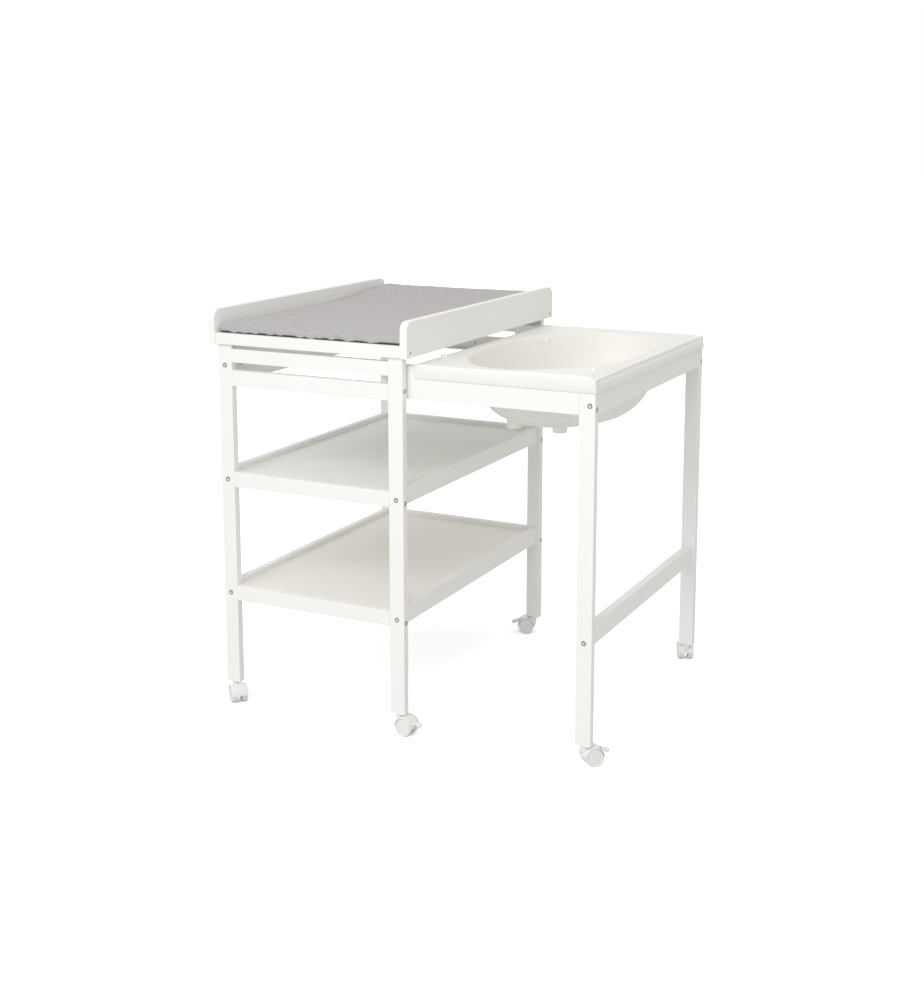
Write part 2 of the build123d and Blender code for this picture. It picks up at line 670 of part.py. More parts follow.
# ---- casters: a hooded fork that swivels in a socket, two wheels on an axle, and a brake lever on some ----
def caster(name, x, y, angle):
    heading = radians(angle)
    trail = Vector(cos(heading), sin(heading), 0)
    hub = Vector(x, y, wheel_radius) + trail * caster_trail
    side = Plane(origin=hub, x_dir=trail, z_dir=Vector(sin(heading), -cos(heading), 0))
    low_angle = radians(hood_low_angle)
    high_angle = radians(hood_high_angle)
    neck_top = z0 - socket_flange - fit_gap - wheel_radius
    hinge_turn = radians(lever_hinge_angle)
    hinge = (lever_hinge_radius * cos(hinge_turn), lever_hinge_radius * sin(hinge_turn))
    ear_length = lever_hub + lever_hub_gap + hood_wall / 2
    ear_middle = lever_hinge_radius - ear_length / 2
    ear_root = (ear_middle * cos(hinge_turn), ear_middle * sin(hinge_turn))
    with_brake = name in braked

    def hood_section(radius, half, mode=Mode.ADD):
        with BuildSketch(side) as section:
            with BuildLine():
                CenterArc((0, 0), radius, hood_low_angle, hood_high_angle - hood_low_angle)
                Line(
                    (radius * cos(low_angle), radius * sin(low_angle)),
                    (radius * cos(high_angle), radius * sin(high_angle)),
                )
            make_face()
        extrude(section.sketch, amount=half, both=True, mode=mode)

    with BuildPart() as fork:
        hood_section(hood_outer, hood_half)
        with BuildSketch(side):
            Circle(wheel_radius + hood_gap)
        extrude(amount=hood_half, both=True, mode=Mode.SUBTRACT)
        hood_section(hood_outer - hood_wall / 2, web_half)
        with BuildSketch(side):
            Circle(hub_boss_radius)
            with BuildLine():
                Polyline(
                    (-caster_trail - neck_radius, neck_top - neck_web),
                    (-caster_trail - neck_radius, neck_top - neck_length / 2),
                    (-hub_boss_radius / 2, neck_top - neck_length / 2),
                    (-hub_boss_radius / 2, 0),
                    (-hub_boss_radius, hub_boss_radius / 2),
                    close=True,
                )
            make_face()
        extrude(amount=web_half, both=True)
        with BuildSketch(Plane(origin=(x, y, wheel_radius + neck_top), x_dir=trail, z_dir=(0, 0, 1))):
            Circle(neck_radius)
        extrude(amount=-neck_length)
        stem_foot = wheel_radius + neck_top - neck_length / 2
        with BuildSketch(Plane(origin=(x, y, stem_foot), z_dir=(0, 0, 1))):
            Circle(stem_radius)
        extrude(amount=z0 + stem_length - stem_end_gap - stem_foot)
        if with_brake:
            ear_inner = lever_root_half + ear_gap
            for way in (-1, 1):
                with BuildSketch(side.offset(way * ear_inner)):
                    with Locations(hinge):
                        Circle(lever_hub + ear_gap)
                    with Locations(Location(ear_root, lever_hinge_angle)):
                        Rectangle(ear_length, 2 * (lever_hub + ear_gap))
                extrude(amount=way * ear_thickness)
            with BuildSketch(side):
                with Locations(hinge):
                    Circle(lever_pin)
            extrude(amount=ear_inner + ear_thickness, both=True)
        drill(side.offset(hood_half), axle_radius + axle_clear, 2 * hood_half)
    save(fork, f"caster_{name}_fork")

    with BuildPart() as wheels:
        for way in (-1, 1):
            inner = side.offset(way * (wheel_spacing - wheel_width) / 2)
            with BuildSketch(inner):
                Circle(wheel_radius)
            extrude(amount=way * wheel_width)
        for way in (-1, 1):
            rims = wheels.edges().filter_by(GeomType.CIRCLE)
            at = side.offset(way * (wheel_spacing + wheel_width) / 2).origin
            outer = [e for e in rims if (e.arc_center - at).length < 0.01]
            fillet(outer, wheel_edge)
        for way in (-1, 1):
            inner = (wheel_spacing - wheel_width) / 2
            depth = axle_half + axle_end_gap - inner
            drill(side.offset(way * inner), axle_radius + axle_clear / 2, -way * depth)
        with BuildSketch(side):
            Circle(axle_radius)
        extrude(amount=axle_half, both=True)
    save(wheels, f"caster_{name}_wheels")

    if with_brake:
        slope = radians(lever_slope)
        out = trail * cos(slope) - Vector(0, 0, sin(slope))
        across = Vector(-sin(heading), cos(heading), 0)
        hinge_point = hub + trail * hinge[0] + Vector(0, 0, hinge[1])
        blade_plane = Plane(origin=hinge_point, x_dir=out, z_dir=out.cross(across))
        with BuildPart() as lever:
            with BuildSketch(blade_plane):
                with BuildLine():
                    Polyline(
                        (0, -lever_root_half),
                        (lever_neck, -lever_root_half),
                        (lever_length - lever_half, -lever_half),
                        (lever_length - lever_half, lever_half),
                        (lever_neck, lever_root_half),
                        (0, lever_root_half),
                        close=True,
                    )
                make_face()
                with Locations((lever_length - lever_half, 0)):
                    Circle(lever_half)
            extrude(amount=lever_thickness / 2, both=True)
            with BuildSketch(side):
                with Locations(hinge):
                    Circle(lever_hub)
            extrude(amount=lever_root_half, both=True)
            with BuildSketch(side):
                with Locations(hinge):
                    Circle(lever_pin + lever_pin_clear)
            extrude(amount=lever_root_half, both=True, mode=Mode.SUBTRACT)
        save(lever, f"caster_{name}_brake")


caster_spots = {
    "front_left": (leg_x["left"], leg_y["front"]),
    "front_right": (leg_x["right"], leg_y["front"]),
    "back_left": (leg_x["left"], leg_y["back"]),
    "back_right": (leg_x["right"], leg_y["back"]),
    "bath_front": (bath_leg_x, bath_front + leg_depth / 2),
    "bath_back": (bath_leg_x, bath_back - leg_depth / 2),
}
for name, (x, y) in caster_spots.items():
    caster(name, x, y, caster_angles[name])


def sockets(spots):
    """Sleeves pressed into the legs' feet, with a small flange under each leg."""
    with BuildPart() as group:
        for x, y in spots:
            foot = Plane(origin=(x, y, z0))
            with BuildSketch(foot):
                Circle(socket_radius)
            extrude(amount=stem_length)
            with BuildSketch(foot):
                Circle(socket_flange_radius)
            extrude(amount=-socket_flange)
            with BuildSketch(foot.offset(-socket_flange)):
                Circle(stem_radius + stem_clear)
            extrude(amount=socket_flange + stem_length, mode=Mode.SUBTRACT)
    return group


spots = list(caster_spots.values())
save(sockets(spots[:4]), "table_caster_sockets")
save(sockets(spots[4:]), "bath_caster_sockets")

# ---- changing mat: a plain pad with a raised head end ----
mat_z = top_z + top_thickness + fit_gap
mat_front = front
mat_back = back
with BuildPart() as changing_mat:
    with BuildSketch(Plane.YZ.offset(left + mat_gap)):
        with BuildLine():
            Polyline(
                (mat_front, mat_z),
                (mat_back, mat_z),
                (mat_back, mat_z + mat_head_thickness),
                (mat_back - mat_ramp, mat_z + mat_thickness),
                (mat_front, mat_z + mat_thickness),
                close=True,
            )
        make_face()
    extrude(amount=table_width - 2 * mat_gap)
save(changing_mat, "changing_mat")
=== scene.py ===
import json
from math import atan2, copysign, cos, dist, pi, radians, sin

import bmesh
import bpy
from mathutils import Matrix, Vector, noise
from mathutils.bvhtree import BVHTree


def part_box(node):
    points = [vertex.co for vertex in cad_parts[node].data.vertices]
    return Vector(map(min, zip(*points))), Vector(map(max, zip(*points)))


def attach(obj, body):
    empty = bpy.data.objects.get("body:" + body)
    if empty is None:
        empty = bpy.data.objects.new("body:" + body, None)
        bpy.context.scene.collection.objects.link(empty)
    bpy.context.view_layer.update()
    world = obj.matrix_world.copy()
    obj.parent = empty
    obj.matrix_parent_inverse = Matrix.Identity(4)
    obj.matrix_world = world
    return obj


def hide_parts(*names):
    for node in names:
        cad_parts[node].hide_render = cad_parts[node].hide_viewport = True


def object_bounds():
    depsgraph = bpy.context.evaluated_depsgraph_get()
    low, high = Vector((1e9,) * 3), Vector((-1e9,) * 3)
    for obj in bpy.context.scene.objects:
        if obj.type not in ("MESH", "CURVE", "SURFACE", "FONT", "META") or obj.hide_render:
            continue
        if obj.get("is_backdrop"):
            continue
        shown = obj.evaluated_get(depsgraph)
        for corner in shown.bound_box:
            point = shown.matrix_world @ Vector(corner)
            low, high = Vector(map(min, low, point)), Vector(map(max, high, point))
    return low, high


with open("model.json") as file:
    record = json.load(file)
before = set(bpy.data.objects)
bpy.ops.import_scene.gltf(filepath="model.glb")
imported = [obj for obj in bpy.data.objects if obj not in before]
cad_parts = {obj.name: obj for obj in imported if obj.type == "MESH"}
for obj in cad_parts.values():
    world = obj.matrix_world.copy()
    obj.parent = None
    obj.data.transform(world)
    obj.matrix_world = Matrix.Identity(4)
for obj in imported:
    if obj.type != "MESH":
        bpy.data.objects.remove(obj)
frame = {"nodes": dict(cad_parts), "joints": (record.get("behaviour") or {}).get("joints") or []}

nodes = frame["nodes"]
cad_low, cad_high = (Vector(corner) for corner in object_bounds())
scene = bpy.context.scene

# ---- where the table stands: a white room with soft lamps in front and overhead ----
# The open room lights every side evenly and a little warmly. The front lamp and the soft box set faces that
# look to the front apart from those that look to the side.
scene.view_settings.view_transform = "Standard"

camera_data = bpy.data.cameras.new("camera")
camera = bpy.data.objects.new("camera", camera_data)
scene.collection.objects.link(camera)
scene.camera = camera
camera_away = Vector((1.604, -3.266, 0.924))  # from the table's middle
camera_down, camera_left = 9.84, 26.58  # degrees that it looks down, and to the left of straight back
camera.location = (cad_low + cad_high) / 2 + camera_away
camera.rotation_euler = (radians(90 - camera_down), 0, radians(camera_left))
camera_data.sensor_width = 36
camera_data.lens = 53.12
camera_data.shift_y = -0.12
camera_data.clip_end = 60


class Finish:
    """A material, or the room's light, and the one way in which its nodes are made."""

    def __init__(self, name, kind=bpy.data.materials):
        self.material = kind.new(name)
        self.material.use_nodes = True
        self.tree = self.material.node_tree
        self.tree.nodes.clear()

    def add(self, kind, settings=None, sockets=None, out=0):
        """A node with its settings, then what goes into its sockets. Returns one of its outputs."""
        node = self.tree.nodes.new(kind)
        for key, value in (settings or {}).items():
            if key == "stops":
                ramp = node.color_ramp.elements
                while len(ramp) < len(value):
                    ramp.new(0.5)
                for stop, (place, colour) in zip(ramp, value):
                    stop.position = place
                    stop.color = (*colour, 1)
            else:
                setattr(node, key, value)
        for key, value in (sockets or {}).items():
            if isinstance(key, str):
                socket = [s for s in node.inputs if s.name == key and s.enabled][0]
            else:
                socket = node.inputs[key]
            if isinstance(value, Level):
                self.tree.links.new(value.socket, socket)
            else:
                socket.default_value = value
        usable = [s for s in node.outputs if s.enabled]
        if not usable:
            return None
        return Level(self, usable[out] if isinstance(out, int) else node.outputs[out])

    def place(self):
        """Points of the piece itself, in metres, which stay on it as it moves."""
        return self.add("ShaderNodeTexCoord", out="Object")

    def stretch(self, point, x, y, z):
        return self.add("ShaderNodeVectorMath", {"operation": "MULTIPLY"}, {0: point, 1: (x, y, z)})

    def speckle(self, point, scale, detail=2.0, roughness=0.5):
        """Soft random noise about 0.5, with this many spots to the metre."""
        sockets = {"Vector": point, "Scale": scale, "Detail": detail, "Roughness": roughness}
        return self.add("ShaderNodeTexNoise", None, sockets)

    def blend(self, amount, first, second):
        sockets = {"Factor": amount, "A": first, "B": second}
        return self.add("ShaderNodeMix", {"data_type": "RGBA"}, sockets)

    def bump(self, height, distance, strength=1.0, under=None):
        sockets = {"Height": height, "Distance": distance, "Strength": strength}
        if under is not None:
            sockets["Normal"] = under
        return self.add("ShaderNodeBump", None, sockets)

    def surface(self, **sockets):
        """The finished surface: its names are the shader's, with _ for a space."""
        named = {key.replace("_", " "): value for key, value in sockets.items()}
        shader = self.add("ShaderNodeBsdfPrincipled", None, named)
        self.add("ShaderNodeOutputMaterial", None, {"Surface": shader})
        return self.material


class Level:
    """What comes out of a node. Sums on it add the Math nodes that work them out."""

    def __init__(self, finish, socket):
        self.finish = finish
        self.socket = socket

    def math(self, operation, *values):
        return self.finish.add("ShaderNodeMath", {"operation": operation}, dict(enumerate(values)))

    def __add__(self, other):
        return self.math("ADD", self, other)

    def __sub__(self, other):
        return self.math("SUBTRACT", self, other)

    def __rsub__(self, other):
        return self.math("SUBTRACT", other, self)

    def __mul__(self, other):
        return self.math("MULTIPLY", self, other)

    __radd__ = __add__
    __rmul__ = __mul__

    def between(self, low, high):
        """0 at low and 1 at high, smooth in between."""
        sockets = {"Value": self, "From Min": low, "From Max": high}
        return self.finish.add("ShaderNodeMapRange", {"interpolation_type": "SMOOTHSTEP"}, sockets)


def room_light():
    """The room is plain white where it is seen or mirrored, and a little dimmer where it only lights."""
    room = Finish("room", bpy.data.worlds)
    seen = room.add("ShaderNodeLightPath", out="Is Camera Ray")
    through = room.add("ShaderNodeLightPath", out="Is Transmission Ray")
    mirrored = room.add("ShaderNodeLightPath", out="Is Glossy Ray")
    shown = seen.math("MAXIMUM", seen.math("MAXIMUM", seen, through), mirrored)
    light = room.add("ShaderNodeBackground", None, {"Color": (1.0, 0.985, 0.945, 1), "Strength": 0.68})
    white = room.add("ShaderNodeBackground", None, {"Color": (1, 1, 1, 1), "Strength": 1})
    mixed = room.add("ShaderNodeMixShader", None, {"Fac": shown, 1: light, 2: white})
    room.add("ShaderNodeOutputWorld", None, {"Surface": mixed})
    return room.material


def soft_sun(name, height, turn, strength, width, colour):
    """A broad lamp far away, this high above the floor and this far to the right of straight in front."""
    lamp = bpy.data.lights.new(name, "SUN")
    lamp.energy = strength
    lamp.angle = radians(width)
    lamp.color = colour
    piece = bpy.data.objects.new(name, lamp)
    piece.rotation_euler = (radians(90 - height), 0, radians(turn))
    scene.collection.objects.link(piece)


scene.world = room_light()
soft_sun("front_lamp", height=32, turn=-15, strength=0.53, width=30, colour=(0.97, 0.985, 1.0))
soft_sun("top_lamp", height=80, turn=20, strength=0.15, width=60, colour=(1.0, 1.0, 1.0))

# A square soft box close by lights the near side a little more.
soft_box = bpy.data.lights.new("soft_box", "AREA")
soft_box.energy = 12.0
soft_box.size = 1.0
soft_box.color = (0.98, 0.99, 1.0)
box_stand = bpy.data.objects.new("soft_box", soft_box)
box_stand.location = (0.35, -2.1, 2.0)
box_aim = Vector((-0.1, 0, 0.6))
box_stand.rotation_euler = (box_stand.location - box_aim).to_track_quat("Z", "Y").to_euler()
scene.collection.objects.link(box_stand)


# ---- the floor ----
# A wide sheet of matt white paper, which shows nothing but soft shadows under the table. It is brighter where
# it is seen than where it only throws light back at the object.
def floor_paper():
    paper = Finish("white_paper")
    fibre = paper.speckle(paper.place(), 260, 3)
    colour = paper.blend(fibre, (0.79, 0.79, 0.785, 1), (0.81, 0.81, 0.805, 1))
    bright = paper.blend(fibre, (1.68, 1.707, 1.777, 1), (1.71, 1.737, 1.807, 1))
    seen = paper.add("ShaderNodeLightPath", out="Is Camera Ray")
    matt = paper.add("ShaderNodeBsdfDiffuse", None, {"Color": paper.blend(seen, colour, bright)})
    paper.add("ShaderNodeOutputMaterial", None, {"Surface": matt})
    return paper.material


floor_half = 40.0
floor_mesh = bpy.data.meshes.new("floor")
floor_corners = [(x * floor_half, y * floor_half, cad_low.z) for x, y in ((-1, -1), (1, -1), (1, 1), (-1, 1))]
floor_mesh.from_pydata(floor_corners, [], [(0, 1, 2, 3)])
floor_mesh.materials.append(floor_paper())
floor = bpy.data.objects.new("floor", floor_mesh)
scene.collection.objects.link(floor)
floor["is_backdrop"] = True


# ---- the painted frame: legs, rails, guard boards and the changing top ----
# Planed bars of beech and a flat board, all with softened edges, sprayed with satin white paint. The grain
# shows faintly through the paint along each bar, and the spray leaves a fine skin over it.
def dress(finish, *names):
    """Gives CAD pieces their finish."""
    for name in names:
        slots = nodes[name].data.materials
        slots.clear()
        slots.append(finish)


def white_paint(name, along):
    """White paint over wood whose grain runs along X, Y or Z."""
    paint = Finish(name)
    point = paint.place()
    along_grain, across_grain = 14.0, 260.0
    spread = [along_grain if axis == along else across_grain for axis in "XYZ"]
    grain = paint.speckle(paint.stretch(point, *spread), 1.0, 4, 0.6)
    skin = paint.speckle(point, 900, 2)
    patch = paint.speckle(point, 9, 2)
    colour = paint.blend(patch, (0.925, 0.922, 0.912, 1), (0.95, 0.949, 0.943, 1))
    relief = grain * 0.7 + skin * 0.3
    normal = paint.bump(relief, 0.00025, 0.5)
    rough = 0.40 + grain * 0.08 + patch * 0.06
    return paint.surface(Base_Color=colour, Roughness=rough, Normal=normal, Specular_IOR_Level=0.45)


upright_paint = white_paint("white_paint_upright", "Z")
cross_paint = white_paint("white_paint_cross", "X")
deep_paint = white_paint("white_paint_deep", "Y")
sides, ends, levels = ("left", "right"), ("front", "back"), ("upper", "lower")
dress(upright_paint, *(f"leg_{end}_{side}" for end in ends for side in sides))
dress(upright_paint, *(f"bath_leg_{end}" for end in ends))
dress(cross_paint, *(f"{level}_rail_{end}" for level in levels for end in ends))
dress(cross_paint, *(f"{level}_shelf_rail_{end}" for level in levels for end in ends))
dress(cross_paint, *(f"bath_rail_{end}" for end in ends))
dress(deep_paint, *(f"{level}_shelf_rail_{side}" for level in levels for side in sides))
dress(deep_paint, *(f"guard_board_{side}" for side in sides))
dress(deep_paint, "side_apron", "changing_top", "bath_side_rail", "bath_stretcher")


# ---- the shelf boards ----
# Thin hardboard with a smooth off-white face. Each board is held in grooves in the four rails round it, which
# are bolted to the legs.
def shelf_board():
    board = Finish("shelf_board")
    point = board.place()
    fleck = board.speckle(point, 700, 2)
    patch = board.speckle(point, 6, 3)
    colour = board.blend(patch, (0.90, 0.888, 0.85, 1), (0.925, 0.915, 0.882, 1))
    normal = board.bump(fleck, 0.0001, 0.4)
    return board.surface(Base_Color=colour, Roughness=0.42 + patch * 0.1, Normal=normal)


dress(shelf_board(), *(f"{level}_shelf_panel" for level in levels))


# ---- bolts, screws, sleeves, runners and dowels ----
# Zinc-plated bolts draw the bars against barrel nuts. Their heads carry painted light: the head's face is
# darkened as painted shade, and its hexagon socket is lightened as a painted highlight. Pressed steel sleeves
# hold the caster stems, the runners are bent sheet, powder coated, and the dowels are bare beech.
def plated_steel(name, colour, rough):
    steel = Finish(name)
    point = steel.place()
    scratch = steel.speckle(steel.stretch(point, 900, 900, 5200), 1.0, 3)
    tint = steel.blend(scratch, (*colour, 1), tuple(c * 0.8 for c in colour) + (1,))
    normal = steel.bump(scratch, 0.00005, 0.5)
    return steel.surface(Base_Color=tint, Metallic=1.0, Roughness=rough + scratch * 0.15, Normal=normal)


zinc = plated_steel("zinc_plate", (0.56, 0.58, 0.62), 0.24)
dress(zinc, "guard_screws", "runner_screws", "stop_pins", "table_barrel_nuts", "bath_barrel_nuts")


# The head's face, down to the first depth, is darkened as painted shade; below the second the socket is
# lightened as a painted highlight.
painted_shade_to, painted_highlight_from = 0.0002, 0.0005  # depths below the top of a bolt's head


def bolt_steel_painted_light(node):
    """Plating for bolts whose heads end in the sides of one upright box: painted shade there, painted
    highlight below.
    """
    steel = Finish(f"{node}_steel")
    own = nodes[node].matrix_world.inverted()
    low, high = (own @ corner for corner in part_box(node))
    point = steel.place()
    scratch = steel.speckle(steel.stretch(point, 900, 900, 5200), 1.0, 3)
    depth = None
    for out, start, end in (("X", low.x, high.x), ("Y", low.y, high.y)):
        along = steel.add("ShaderNodeSeparateXYZ", None, {0: point}, out)
        for below in (along - start, end - along):
            depth = below if depth is None else below.math("MINIMUM", below, depth)
    # Painted light: dark on the head's face as painted shade, and bright in the socket as a painted
    # highlight.
    bright = depth.between(painted_shade_to, painted_highlight_from)
    colour = steel.blend(bright, (0.40, 0.41, 0.43, 1), (0.95, 0.96, 0.98, 1))
    return steel.surface(Base_Color=colour, Metallic=1.0, Roughness=0.24 + scratch * 0.15)


for node in ("table_bolts", "bath_bolts"):
    dress(bolt_steel_painted_light(node), node)
dress(plated_steel("socket_steel", (0.60, 0.61, 0.63), 0.3), "table_caster_sockets", "bath_caster_sockets")


def powder_coat():
    coat = Finish("powder_coat")
    pebble = coat.speckle(coat.place(), 1500, 2)
    colour = coat.blend(pebble, (0.87, 0.87, 0.86, 1), (0.91, 0.91, 0.90, 1))
    normal = coat.bump(pebble, 0.0001, 0.6)
    return coat.surface(Base_Color=colour, Roughness=0.5 + pebble * 0.1, Normal=normal)


dress(powder_coat(), *(f"bath_runner_{end}" for end in ends))


def bare_beech():
    wood = Finish("bare_beech")
    ring = wood.speckle(wood.stretch(wood.place(), 300, 30, 300), 1.0, 4)
    colour = wood.blend(ring, (0.62, 0.47, 0.31, 1), (0.78, 0.64, 0.46, 1))
    return wood.surface(Base_Color=colour, Roughness=0.6 + ring * 0.1)


dress(bare_beech(), "wood_dowels")


# ---- casters ----
# Twin-wheel casters moulded in white nylon: a hooded fork on a stem, two dished wheels on one axle, and on
# three of them a pedal that rocks between two lugs and stops the wheels.
def moulded_nylon(name, light, dark, rough):
    nylon = Finish(name)
    point = nylon.place()
    flow = nylon.speckle(point, 60, 2)
    spark = nylon.speckle(point, 2500, 2)
    colour = nylon.blend(flow, (*light, 1), (*dark, 1))
    normal = nylon.bump(spark, 0.00008, 0.5)
    return nylon.surface(Base_Color=colour, Roughness=rough + flow * 0.08, Normal=normal)


def skin(name, rings, finish):
    """A closed surface over rings of points, with a middle point at either end."""
    count = len(rings[0])
    points = [point for ring in rings for point in ring]
    faces = []
    for near in range(0, (len(rings) - 1) * count, count):
        for k in range(count):
            after = (k + 1) % count
            faces.append((near + k, near + after, near + count + after, near + count + k))
    for start in (0, (len(rings) - 1) * count):
        points.append(tuple(sum(axis) / count for axis in zip(*points[start:start + count])))
        faces += [(start + k, start + (k + 1) % count, len(points) - 1) for k in range(count)]
    form = bmesh.new()
    verts = [form.verts.new(point) for point in points]
    for face in faces:
        form.faces.new([verts[k] for k in face])
    bmesh.ops.recalc_face_normals(form, faces=form.faces)
    mesh = bpy.data.meshes.new(name)
    form.to_mesh(mesh)
    form.free()
    mesh.materials.append(finish)
    piece = bpy.data.objects.new(name, mesh)
    scene.collection.objects.link(piece)
    return piece


def joined(name, pieces, crisp=35):
    """The pieces as one, shaded smooth where they bend less than this many degrees."""
    form = bmesh.new()
    for piece in pieces:
        form.from_mesh(piece.data)
    mesh = bpy.data.meshes.new(name)
    form.to_mesh(mesh)
    form.free()
    mesh.materials.append(pieces[0].data.materials[0])
    for piece in pieces:
        bpy.data.objects.remove(piece)
    mesh.shade_smooth()
    mesh.set_sharp_from_angle(angle=radians(crisp))
    whole = bpy.data.objects.new(name, mesh)
    scene.collection.objects.link(whole)
    return whole


def circle(middle, one_way, other_way, radius, count=24):
    """Points round a circle that lies along two directions."""
    turns = [2 * pi * k / count for k in range(count)]
    return [middle + one_way * (radius * cos(turn)) + other_way * (radius * sin(turn)) for turn in turns]


up = Vector((0, 0, 1))
axle_radius, axle_half = 0.003, 0.007
hood_radius = 0.0245
web_half, web_radius, web_low_radius = 0.0062, 0.0235, 0.0078
lug_heading, lug_root, lug_tip, lug_round = radians(25), 0.0225, 0.0285, 0.0033
lug_faces = (0.0053, 0.0079)
wheel_profile = [  # radius, and how far out from the middle
    (0.0040, 0.00675),
    (0.0196, 0.00675),
    (0.0210, 0.0079),
    (0.0210, 0.0178),
    (0.0206, 0.0193),
    (0.0194, 0.0201),
    (0.0180, 0.02025),
    (0.0173, 0.0199),
    (0.0170, 0.0190),
    (0.0110, 0.0193),
    (0.0050, 0.0197),
]
# one half of the hood's section: how far out from the middle, and how far in from the hood's radius
hood_half = [(0.0200, 0.0014), (0.0192, 0.0006), (0.0175, 0.0002), (0.0140, 0.0), (0.0060, 0.0)]
hood_inside = [(0.0060, 0.0019), (0.0140, 0.0019), (0.0175, 0.0021), (0.0196, 0.0026)]
neck_profile = [  # radius, and height above the floor
    (0.0045, 0.0280),
    (0.0074, 0.0340),
    (0.0084, 0.0400),
    (0.0085, 0.0460),
    (0.0080, 0.0467),
    (0.0040, 0.0467),
    (0.0040, 0.0745),
    (0.0034, 0.0750),
]
pedal_square = 0.65
pedal_line = [  # out and up from the axle, thickness, half width
    (0.0151, 0.0216, 0.0010, 0.0025),
    (0.0166, 0.0205, 0.0018, 0.0042),
    (0.0196, 0.0177, 0.0020, 0.0046),
    (0.0223, 0.0145, 0.0030, 0.0047),
    (0.0258, 0.0120, 0.0054, 0.0048),
    (0.0284, 0.0113, 0.0056, 0.0048),
    (0.0306, 0.0103, 0.0074, 0.0054),
    (0.0330, 0.0091, 0.0094, 0.0068),
    (0.0358, 0.0081, 0.0104, 0.0072),
    (0.0384, 0.0075, 0.0098, 0.0062),
    (0.0404, 0.0071, 0.0076, 0.0044),
    (0.0416, 0.0069, 0.0044, 0.0030),
    (0.0419, 0.0068, 0.0016, 0.0014),
]


class Caster:
    """Where one caster stands, and which way it trails from its stem."""

    def __init__(self, corner):
        low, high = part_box(f"caster_{corner}_wheels")
        swivel = next(joint for joint in frame["joints"] if joint["name"] == f"swivel_{corner}")
        self.corner = corner
        self.hub = (low + high) / 2
        self.stem = Vector((swivel["pos_m"][0], swivel["pos_m"][1], low.z))
        self.out = Vector((self.hub.x - self.stem.x, self.hub.y - self.stem.y, 0)).normalized()
        self.across = up.cross(self.out)

    def spot(self, out, rise, side):
        """A point this far out, up and across from the middle of the axle."""
        return self.hub + self.out * out + up * rise + self.across * side

    def disc(self, radius, side):
        """A ring round the axle."""
        return circle(self.spot(0, 0, side), self.out, up, radius, count=40)

    def wheels(self, finish):
        """Both wheels, each dished on its outer face, and their axle."""
        rims = [[self.disc(radius, way * side) for radius, side in wheel_profile] for way in (-1, 1)]
        axle = [self.disc(axle_radius, side) for side in (-axle_half, axle_half)]
        return joined(f"wheels_{self.corner}", [skin("rim", rings, finish) for rings in (*rims, axle)])

    def fork(self, finish, braked):
        """The hood over the wheels, the web between them, the neck with its stem, and the pedal's lugs."""
        section = hood_half + [(-side, drop) for side, drop in reversed(hood_half)]
        section += [(-side, drop) for side, drop in reversed(hood_inside)] + hood_inside
        hood = []
        for degrees in range(0, 181, 6):
            turn = radians(degrees)
            hood.append([self.spot((hood_radius - drop) * cos(turn), (hood_radius - drop) * sin(turn), side)
                         for side, drop in section])
        web = []
        for side in (-web_half, web_half):
            reach = [(radians(6 * k), web_radius if k <= 30 else web_low_radius) for k in range(60)]
            web.append([self.spot(radius * cos(turn), radius * sin(turn), side) for turn, radius in reach])
        neck = []
        for radius, height in neck_profile:
            neck.append(circle(self.stem + up * height, self.out, self.across, radius))
        solids = [hood, web, neck]
        if braked:
            solids += [self.lug(way) for way in (-1, 1)]
        return joined(f"fork_{self.corner}", [skin("solid", rings, finish) for rings in solids])

    def lug(self, way):
        """One of the two lugs between which the pedal rocks, rounded at both ends."""
        outline = []
        for k in range(24):
            turn = lug_heading - pi / 2 + radians(15 * k)
            along = lug_tip if k <= 12 else lug_root
            out = along * cos(lug_heading) + lug_round * cos(turn)
            outline.append((out, along * sin(lug_heading) + lug_round * sin(turn)))
        return [[self.spot(out, rise, way * side) for out, rise in outline] for side in lug_faces]

    def pedal(self, finish):
        """The pedal, in rings across its line that are rounder than a box and squarer than an ellipse."""
        rings = []
        for number, (out, rise, thickness, half) in enumerate(pedal_line):
            before, after = pedal_line[max(number - 1, 0)], pedal_line[min(number + 1, len(pedal_line) - 1)]
            heading = atan2(after[1] - before[1], after[0] - before[0])
            ring = []
            for k in range(24):
                turn = radians(15 * k)
                side = copysign(abs(cos(turn)) ** pedal_square, cos(turn)) * half
                lift = copysign(abs(sin(turn)) ** pedal_square, sin(turn)) * thickness / 2
                ring.append(self.spot(out - lift * sin(heading), rise + lift * cos(heading), side))
            rings.append(ring)
        return joined(f"pedal_{self.corner}", [skin("blade", rings, finish)], crisp=50)


fork_nylon = moulded_nylon("white_nylon", (0.92, 0.92, 0.915), (0.88, 0.88, 0.875), 0.30)
wheel_nylon = moulded_nylon("wheel_nylon", (0.90, 0.90, 0.895), (0.85, 0.85, 0.845), 0.36)
for corner in [f"{end}_{side}" for end in ends for side in sides] + [f"bath_{end}" for end in ends]:
    caster = Caster(corner)
    braked = f"caster_{corner}_brake" in nodes
    made = [("fork", caster.fork(fork_nylon, braked)), ("wheels", caster.wheels(wheel_nylon))]
    if braked:
        made.append(("brake", caster.pedal(fork_nylon)))
    for kind, piece in made:
        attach(piece, f"{kind}_{corner}")
        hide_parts(f"caster_{corner}_{kind}")


# ---- the baby bath ----
# One moulded shell, ivory white. Its rim is crisp at the front, softer at the back, and rolls over in a broad
# bead on the outer side. A drafted lip hangs over the bath's rails. The oval basin slopes down to the plug,
# with two feet under its shallow end and pegs round it that hold a seat.
def ivory_plastic():
    shell = Finish("ivory_plastic")
    point = shell.place()
    flow = shell.speckle(point, 5, 2)
    peel = shell.speckle(point, 420, 2)
    colour = shell.blend(flow, (0.912, 0.900, 0.875, 1), (0.936, 0.927, 0.905, 1))
    normal = shell.bump(peel, 0.0001, 0.35)
    rough = 0.30 + flow * 0.06
    return shell.surface(Base_Color=colour, Roughness=rough, Normal=normal, Specular_IOR_Level=0.3)


